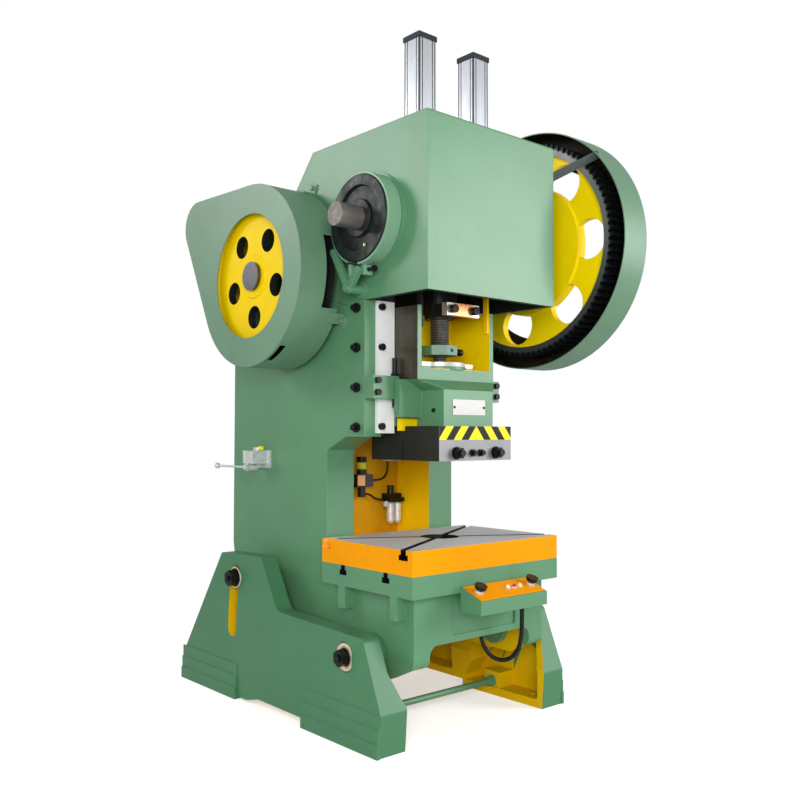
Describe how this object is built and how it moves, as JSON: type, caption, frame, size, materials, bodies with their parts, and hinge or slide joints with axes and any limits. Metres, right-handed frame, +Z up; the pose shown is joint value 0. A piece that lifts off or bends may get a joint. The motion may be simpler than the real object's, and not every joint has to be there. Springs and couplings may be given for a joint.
{
  "type": "mechanical stamping press",
  "caption": "Inclinable C-frame mechanical stamping press with open-geared crank drive, flywheel, adjustable slide, bolster and balance cylinders.",
  "frame": {"origin": "on the floor, in the middle of the four anchor holes in the legs", "axes": "+Z up, +X to the operator's right, +Y to the back; the slide moves along Z"},
  "size_m": [1.135, 1.5458, 2.419],
  "materials": {
    "green_paint": "satin enamel",
    "yellow_paint": "satin enamel",
    "orange_paint": "satin enamel with a ground top",
    "gear_iron": "greased teeth, painted web",
    "dark_iron": "oiled",
    "ground_steel": "ground",
    "bronze": "turned bronze",
    "black_bolts": "black oxide",
    "aluminium": "anodised",
    "black_plastic": "moulded",
    "white_plastic": "moulded",
    "red_plastic": "moulded",
    "green_plastic": "moulded",
    "rubber": "matt",
    "air_unit": "cast"
  },
  "bodies": {
    "base": {"leg_left": "green_paint", "leg_right": "green_paint", "leg_tie_rod": "green_paint", "pivot_bolts": "black_bolts"},
    "press": {"frame_casting": "green_paint", "bolster_plate": "orange_paint", "gib_strip_left": "ground_steel", "gib_strip_right": "ground_steel", "side_gibs": "bronze", "slideway_bolts": "black_bolts", "stop_brackets": "green_paint", "crank_bushes": "bronze", "shaft_bearings": "bronze", "brake_band": "green_paint", "brake_bracket": "green_paint", "brake_bolt": "black_bolts", "belt_guard": "green_paint", "gear_guard": "green_paint", "guard_stays": "green_paint", "motor": "green_paint", "motor_plate": "green_paint", "v_belts": "rubber", "control_box": "green_paint", "control_panel": "orange_paint", "control_fittings": "black_plastic", "control_hose": "rubber", "lube_pump": "air_unit", "throat_plate": "yellow_paint", "air_valve": "air_unit", "air_filter": "air_unit", "junction_box": "white_plastic", "cylinder_barrels": "aluminium", "cylinder_heads": "black_plastic", "slot_bolts": "black_bolts"},
    "rod": {"connecting_rod": "green_paint", "rod_cap": "green_paint", "rod_clamp": "ground_steel"},
    "ram": {"slide_body": "green_paint", "shank_clamp": "ground_steel", "shank_clamp_bolts": "black_bolts", "seat_ring": "ground_steel", "balance_links": "ground_steel", "balance_pistons": "ground_steel"},
    "screw": {"ball_screw": "ground_steel", "locking_collar": "green_paint"},
    "knockout": {"knockout_bar": "ground_steel"},
    "crank": {"crankshaft": "ground_steel", "brake_drum": "dark_iron"},
    "gear": {"bull_gear": "gear_iron"},
    "flywheel_set": {"flywheel": "yellow_paint", "pinion_shaft": "ground_steel", "pinion": "dark_iron"},
    "motor_rotor": {"motor_shaft": "ground_steel", "motor_pulley": "dark_iron"},
    "palm_left": {"palm_button_left": "black_plastic"},
    "palm_right": {"palm_button_right": "black_plastic"},
    "push_1": {"push_button_1": "black_plastic"},
    "push_2": {"push_button_2": "green_plastic"},
    "push_3": {"push_button_3": "red_plastic"},
    "lever": {"pump_lever": "air_unit"}
  },
  "joints": [
    {"name": "frame_tilt", "type": "hinge", "parent": "base", "child": "press", "pos_m": [0, -0.45, 0.281], "axis": [-1, 0, 0], "range_deg": [0, 15]},
    {"name": "crank_turn", "type": "hinge", "parent": "press", "child": "crank", "pos_m": [0, -0.435, 1.74], "axis": [1, 0, 0], "range_deg": [0, 180]},
    {"name": "ram_stroke", "type": "slide", "parent": "press", "child": "rod", "axis": [0, 0, 1], "range_m": [0, 0.13]},
    {"name": "die_height_adjust", "type": "slide", "parent": "rod", "child": "ram", "axis": [0, 0, -1], "range_m": [0, 0.08]},
    {"name": "screw_turn", "type": "hinge", "parent": "ram", "child": "screw", "pos_m": [0, -0.435, 1.23], "axis": [0, 0, 1], "range_deg": [0, 4800]},
    {"name": "knockout_slide", "type": "slide", "parent": "ram", "child": "knockout", "axis": [0, 0, 1], "range_m": [0, 0.025]},
    {"name": "gear_turn", "type": "hinge", "parent": "press", "child": "gear", "pos_m": [0.5175, -0.435, 1.74], "axis": [1, 0, 0], "continuous": true},
    {"name": "flywheel_turn", "type": "hinge", "parent": "press", "child": "flywheel_set", "pos_m": [0, 0.036, 1.588], "axis": [1, 0, 0], "continuous": true},
    {"name": "motor_turn", "type": "hinge", "parent": "press", "child": "motor_rotor", "pos_m": [-0.4, 0.425, 1.838], "axis": [1, 0, 0], "continuous": true},
    {"name": "palm_left_press", "type": "slide", "parent": "press", "child": "palm_left", "axis": [0, 0.3714, -0.9285], "range_m": [0, 0.005], "stiffness_N_per_m": 500, "springref_m": -0.002},
    {"name": "palm_right_press", "type": "slide", "parent": "press", "child": "palm_right", "axis": [0, 0.3714, -0.9285], "range_m": [0, 0.005], "stiffness_N_per_m": 500, "springref_m": -0.002},
    {"name": "push_1_press", "type": "slide", "parent": "press", "child": "push_1", "axis": [0, 0.3714, -0.9285], "range_m": [0, 0.004], "stiffness_N_per_m": 400, "springref_m": -0.001},
    {"name": "push_2_press", "type": "slide", "parent": "press", "child": "push_2", "axis": [0, 0.3714, -0.9285], "range_m": [0, 0.004], "stiffness_N_per_m": 400, "springref_m": -0.001},
    {"name": "push_3_press", "type": "slide", "parent": "press", "child": "push_3", "axis": [0, 0.3714, -0.9285], "range_m": [0, 0.004], "stiffness_N_per_m": 400, "springref_m": -0.001},
    {"name": "pump_lever_swing", "type": "hinge", "parent": "press", "child": "lever", "pos_m": [-0.378, 0.246, 0.879], "axis": [1, 0, 0], "range_deg": [-25, 25]}
  ],
  "couplings": [
    {"joint": "ram_stroke", "follows": "crank_turn", "m_per_rad": 0.04138},
    {"joint": "die_height_adjust", "follows": "screw_turn", "m_per_rad": 0.00095493},
    {"joint": "flywheel_turn", "follows": "gear_turn", "ratio": -5.1111},
    {"joint": "motor_turn", "follows": "gear_turn", "ratio": -21.296}
  ]
}
